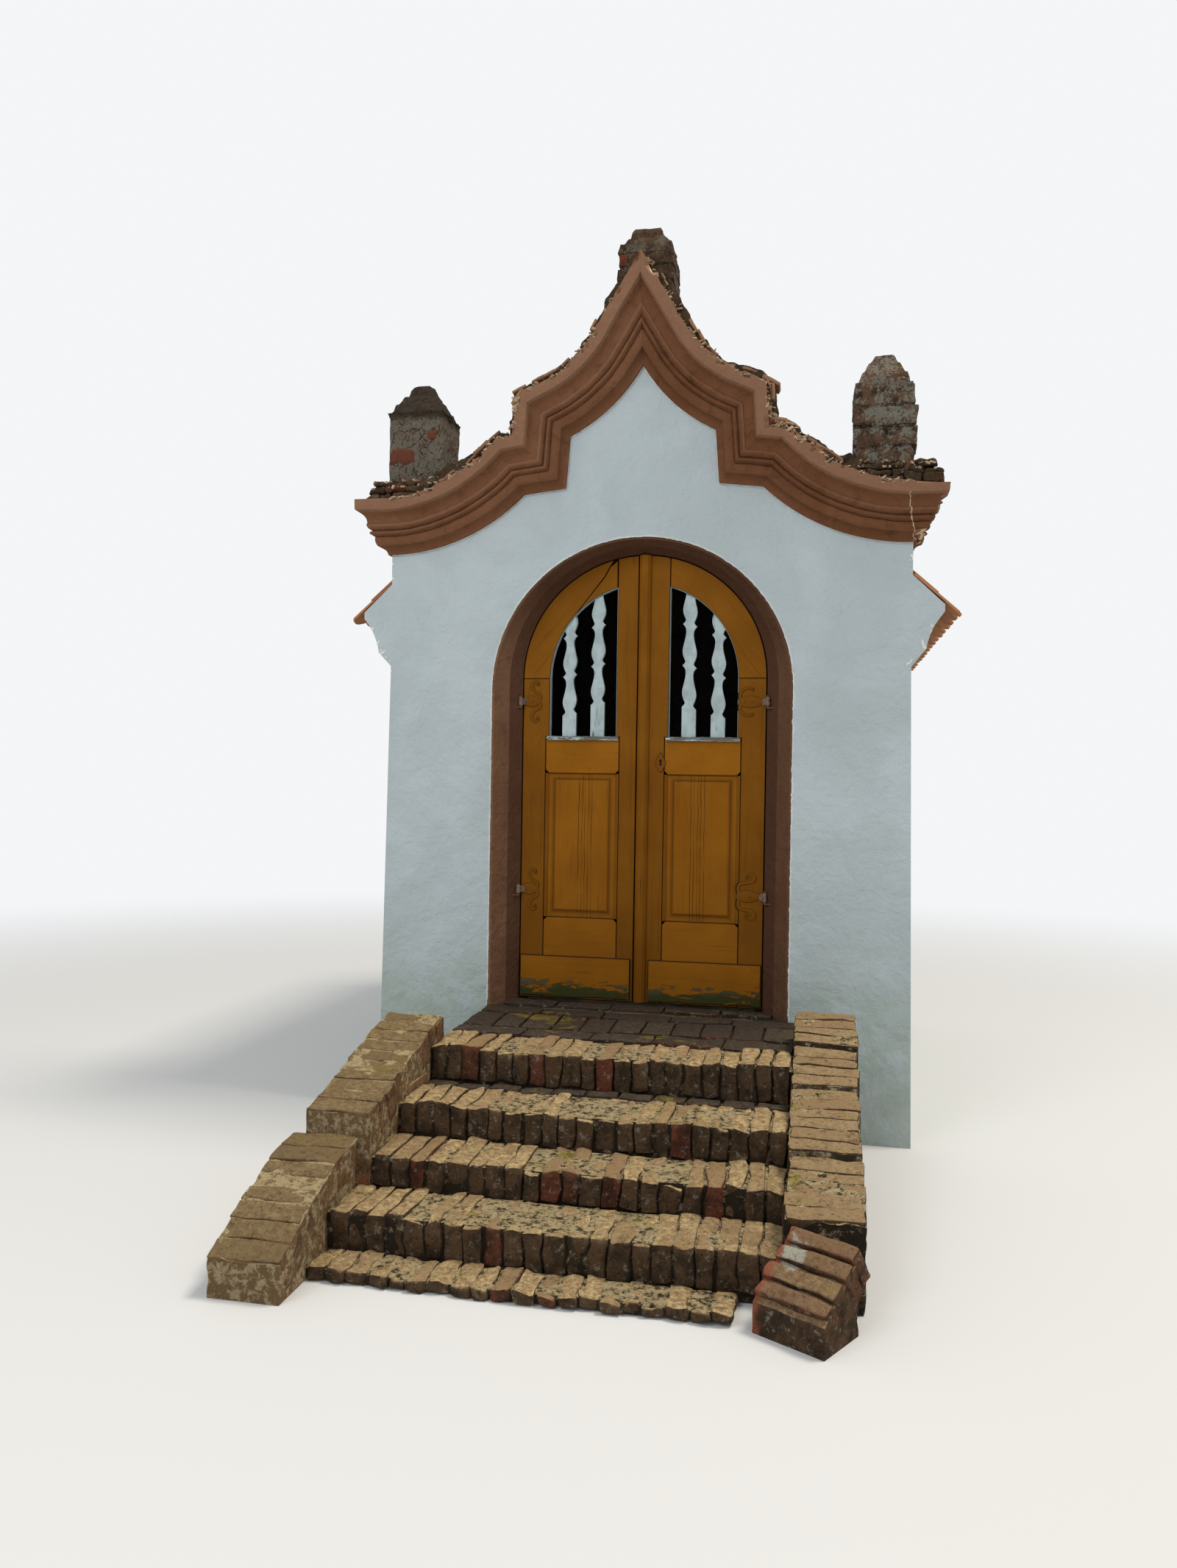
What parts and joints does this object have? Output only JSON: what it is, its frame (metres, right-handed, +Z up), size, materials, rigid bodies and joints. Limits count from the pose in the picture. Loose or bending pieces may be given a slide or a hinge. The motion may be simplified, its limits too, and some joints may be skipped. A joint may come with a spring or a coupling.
{
  "type": "wayside shrine",
  "caption": "Small plastered masonry chapel with an ogee gable, brown run moulding, arched double doors, tiled roof and a brick stair between cheek walls.",
  "frame": {"origin": "on the ground, under the middle of the doorway, in the plane of the front wall", "axes": "+X to the right as seen from the front, -Y out of the front, +Z up"},
  "size_m": [3.1, 5.195, 4.5146],
  "materials": {
    "limewash": "rough lime plaster, limewashed",
    "brown_render": "painted run plaster, chipped",
    "bare_masonry": "weathered brick and mortar",
    "stair_brick": "worn mossy brick",
    "floor_stone": "plain worn paving",
    "roof_tile": "weathered plain clay tile",
    "door_paint": "weathered ochre oil paint",
    "white_paint": "weathered white oil paint",
    "hinge_iron": "rusty iron",
    "strap_iron": "painted over with the door"
  },
  "bodies": {
    "building": {"cheek_left_lower": "stair_brick", "cheek_left_upper": "stair_brick", "cheek_right": "stair_brick", "cheek_right_end": "stair_brick", "eaves_cove_left": "limewash", "eaves_cove_right": "limewash", "floor": "floor_stone", "front_wall_left": "limewash", "front_wall_over_door": "limewash", "front_wall_right": "limewash", "gable_capping": "bare_masonry", "gable_moulding_left": "brown_render", "gable_moulding_right": "brown_render", "hinge_pins": "hinge_iron", "landing": "stair_brick", "landing_edge": "stair_brick", "pinnacle_centre": "bare_masonry", "pinnacle_left": "bare_masonry", "pinnacle_right": "bare_masonry", "pinnacle_slabs": "bare_masonry", "rear_wall": "limewash", "reveal_arch": "brown_render", "reveal_left": "brown_render", "reveal_right": "brown_render", "ridge_tiles": "roof_tile", "roof_slope_left": "roof_tile", "roof_slope_right": "roof_tile", "side_wall_left": "limewash", "side_wall_right": "limewash", "step_1": "stair_brick", "step_2": "stair_brick", "step_3": "stair_brick", "step_4": "stair_brick", "threshold": "stair_brick"},
    "left_leaf": {"balusters_left": "white_paint", "hinge_straps_left": "strap_iron", "kick_board_left": "door_paint", "leaf_frame_left": "door_paint", "ledge_left": "white_paint", "panel_left": "door_paint"},
    "right_leaf": {"balusters_right": "white_paint", "hinge_straps_right": "strap_iron", "kick_board_right": "door_paint", "leaf_frame_right": "door_paint", "ledge_right": "white_paint", "panel_right": "door_paint", "astragal": "door_paint"}
  },
  "joints": [
    {"name": "left_leaf_hinge", "type": "hinge", "parent": "building", "child": "left_leaf", "pos_m": [-0.633, 0.105, 0], "axis": [0, 0, -1], "range_deg": [0, 100]},
    {"name": "right_leaf_hinge", "type": "hinge", "parent": "building", "child": "right_leaf", "pos_m": [0.633, 0.105, 0], "axis": [0, 0, 1], "range_deg": [0, 100]}
  ]
}
